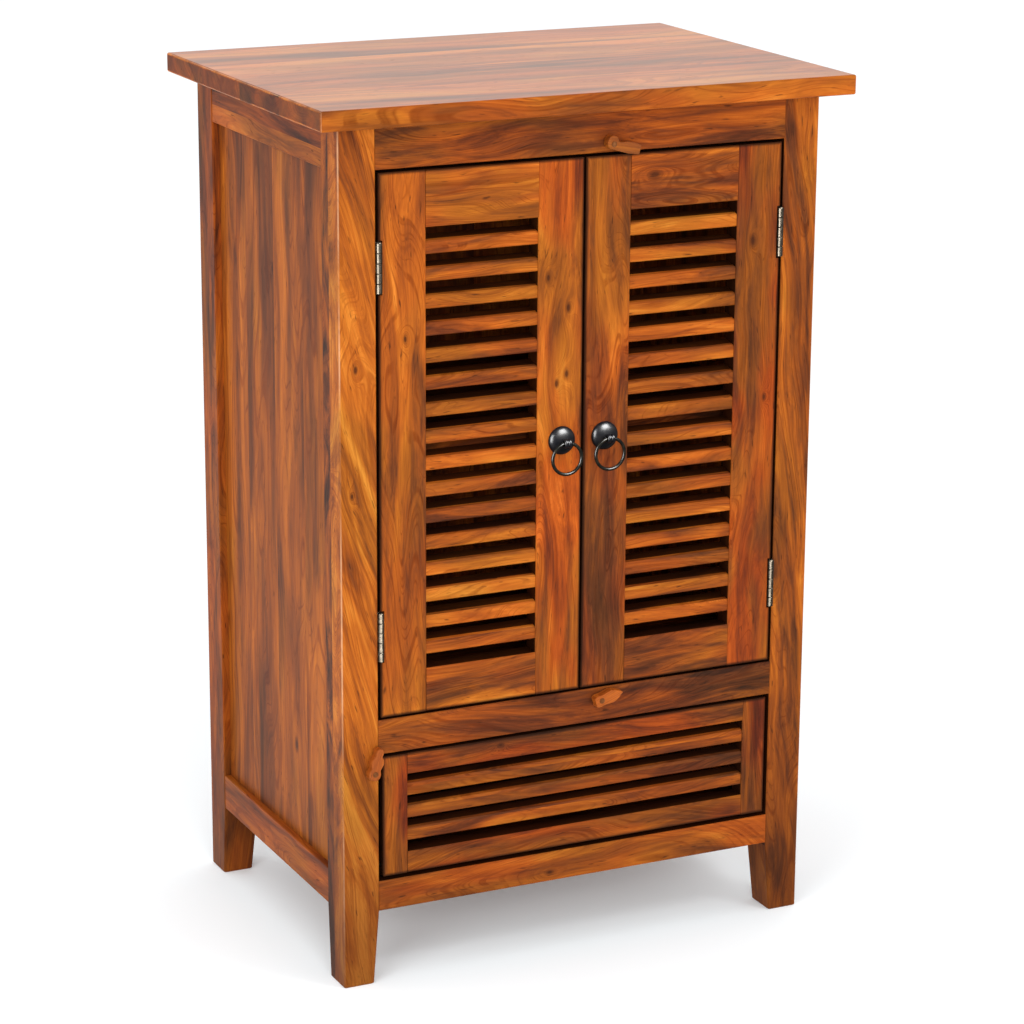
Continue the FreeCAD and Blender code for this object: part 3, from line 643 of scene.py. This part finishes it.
def plate(shape, x, y, z):
    """Flat leaf with its edges just eased."""
    middle = Vector(((x[0] + x[1]) / 2, (y[0] + y[1]) / 2, (z[0] + z[1]) / 2))
    size = Matrix.Diagonal((x[1] - x[0], y[1] - y[0], z[1] - z[0], 1))
    made = bmesh.ops.create_cube(shape, size=1.0, matrix=Matrix.Translation(middle) @ size)
    edges = list({edge for vert in made["verts"] for edge in vert.link_edges})
    bmesh.ops.bevel(shape, geom=edges, affect="EDGES", offset=leaf_ease, segments=1, profile=0.5,
                    material=-1)


for side, way in (("left", -1), ("right", 1)):
    for owner, span in leaf_spans.items():
        shape = bmesh.new()
        leaf_x = sorted((way * span[0], way * span[1]))
        for middle in hinge_middles:
            low = middle - hinge_height / 2
            plate(shape, leaf_x, (leaf_front, leaf_back), (low, low + hinge_height))
            for index in range(first_knuckle[owner], knuckles, 2):
                bottom = low + index * knuckle_pitch + knuckle_play
                top = low + (index + 1) * knuckle_pitch - knuckle_play
                barrel(shape, knuckle_radius, way * hinge_x, bottom, top)
                plate(shape, leaf_x, (hinge_y, strap_back), (bottom, top))
        piece(side + "_" + owner + "_leaf", shape, [steel], side + "_" + owner + "_leaves",
              "cabinet" if owner == "frame" else side + "_door", lit_with=[metalwork, hinge_metal])

pin_radius = 0.0014
pin_head, pin_head_rise = 0.0024, 0.001
shape = bmesh.new()
for way in (-1, 1):
    for middle in hinge_middles:
        low = middle - hinge_height / 2
        shoulder = middle + hinge_height / 2 - knuckle_play
        profile = [(0, low), (pin_radius, low), (pin_radius, shoulder), (pin_head, shoulder)]
        profile += arc((0, shoulder), (pin_head, pin_head_rise), 0, 90, 6)[1:]
        turned_piece(shape, profile, "Z", (way * hinge_x, hinge_y, 0), steps=24)
piece("hinge_pins_turned", shape, [steel], "hinge_pins", "cabinet", lit_with=[metalwork, hinge_metal])


# Turn-buttons: three toggles carved from rosewood offcuts, each with a rounded head, a waist, a lobe
# and a nose, and its front edges rounded over by hand. Each turns on one screw in the frame.
def carved(shape, stations, thickness, place, turned_by):
    """Smooth outline through stations (distance below the pivot, half width, sideways), pulled forward."""
    between = 4
    outline = []
    ends = [stations[0]] + stations + [stations[-1]]
    for before, here, there, after in zip(ends, ends[1:], ends[2:], ends[3:]):
        for step in range(between):
            t = step / between
            weights = (-0.5 * t + t * t - 0.5 * t ** 3, 1 - 2.5 * t * t + 1.5 * t ** 3,
                       0.5 * t + 2 * t * t - 1.5 * t ** 3, -0.5 * t * t + 0.5 * t ** 3)
            outline.append([sum(weight * point[item] for weight, point in
                                zip(weights, (before, here, there, after))) for item in range(3)])
    outline.append(stations[-1])
    right_side = [(lean + wide, -far) for far, wide, lean in outline]
    left_side = [(lean - wide, -far) for far, wide, lean in reversed(outline)]
    points = [shape.verts.new((x, 0, z)) for x, z in right_side + left_side]
    back = shape.faces.new(points)
    pulled = bmesh.ops.extrude_face_region(shape, geom=[back])["geom"]
    front_verts = [item for item in pulled if isinstance(item, bmesh.types.BMVert)]
    bmesh.ops.translate(shape, verts=front_verts, vec=(0, -thickness, 0))
    rim = [edge for edge in shape.edges if all(vert in front_verts for vert in edge.verts)]
    bmesh.ops.bevel(shape, geom=rim, affect="EDGES", offset=front_ease, segments=4, profile=0.5,
                    material=-1, clamp_overlap=True)
    swing = Matrix.Rotation(math.radians(turned_by), 4, (0, -1, 0))
    bmesh.ops.transform(shape, matrix=Matrix.Translation(place) @ swing, verts=shape.verts[:])


button_back = -0.1848
button_thickness = 0.009
front_ease = 0.0024
boss_radius = 0.0052
boss_depths = {"top": 0.0012, "middle": 0.0012, "flap": 0.0006}
buttons = {
    "top": ((0.026, button_back, 0.8454), 75, [
        (-0.0070, 0.0012, 0.0012), (-0.0062, 0.0040, 0.0014), (-0.0036, 0.0062, 0.0014),
        (0.0002, 0.0067, 0.0012), (0.0028, 0.0060, 0.0007), (0.0050, 0.0046, -0.0010),
        (0.0090, 0.0047, -0.0010), (0.0140, 0.0056, -0.0002), (0.0190, 0.0058, 0.0),
        (0.0240, 0.0054, 0.0004), (0.0288, 0.0048, 0.0004), (0.0300, 0.0040, 0.0004)]),
    "middle": ((0.021, button_back, 0.2708), 105, [
        (-0.0070, 0.0044, 0.0), (-0.0064, 0.0050, 0.0), (-0.0030, 0.0060, 0.0), (0.0030, 0.0058, 0.0),
        (0.0080, 0.0064, 0.0), (0.0130, 0.0066, 0.0), (0.0180, 0.0048, 0.0), (0.0220, 0.0022, 0.0),
        (0.0244, 0.0006, 0.0)]),
    "flap": ((-0.2315, button_back, 0.2295), 165, [
        (-0.0070, 0.0012, 0.0), (-0.0064, 0.0036, 0.0), (-0.0040, 0.0058, 0.0), (0.0000, 0.0066, 0.0),
        (0.0042, 0.0052, 0.0), (0.0070, 0.0058, 0.0), (0.0115, 0.0068, 0.0), (0.0160, 0.0056, 0.0),
        (0.0188, 0.0040, 0.0004), (0.0215, 0.0044, 0.0004), (0.0245, 0.0038, 0.0004),
        (0.0268, 0.0014, 0.0004)]),
}
for number, (name, (place, turned_by, stations)) in enumerate(buttons.items()):
    wood = rosewood(name + " button rosewood", "Z", 230 + number, shade=0.02, red=0.3, contrast=0.5,
                    gloss=0.12, slope=math.radians(turned_by), low_shading=0.0)
    shape = bmesh.new()
    carved(shape, stations, button_thickness, place, turned_by)
    boss_depth = boss_depths[name]
    boss_profile = [(0, 0), (boss_radius, 0), (boss_radius, boss_depth), (0, boss_depth)]
    turned_piece(shape, boss_profile, "Y", place, steps=32)
    piece(name + "_button_carved", shape, [wood], name + "_turn_button", name + "_button")


# Screws of the turn-buttons, with low round heads that are nearly as brown as the wood, and the two
# steel pins that the flap turns on.
old_screw = forged("old screw", (0.150, 0.048, 0.014), (0.240, 0.090, 0.030), rough=0.5,
                   metallic=0.0, gloss=0.05)
screw_radius = 0.0020
screw_depth = 0.015
point_length = 0.001
head_radius, head_rise = 0.0029, 0.0010
head_play = 0.0002
screw_seats = {"top": -0.1834, "middle": -0.1834, "flap": -0.184}
under_head = button_back - button_thickness - head_play
screws = bmesh.new()
for name, seat in screw_seats.items():
    x, _, z = buttons[name][0]
    tip = seat + screw_depth - under_head
    profile = [(0, tip), (screw_radius, tip - point_length), (screw_radius, 0), (head_radius, 0)]
    profile += arc((0, 0), (head_radius, head_rise), 0, -90, 8)[1:]
    turned_piece(screws, profile, "Y", (x, under_head, z), steps=32)
piece("round_headed_screws", screws, [old_screw], "turn_button_screws", "cabinet")
lay(steel, "flap_pivot_pins")
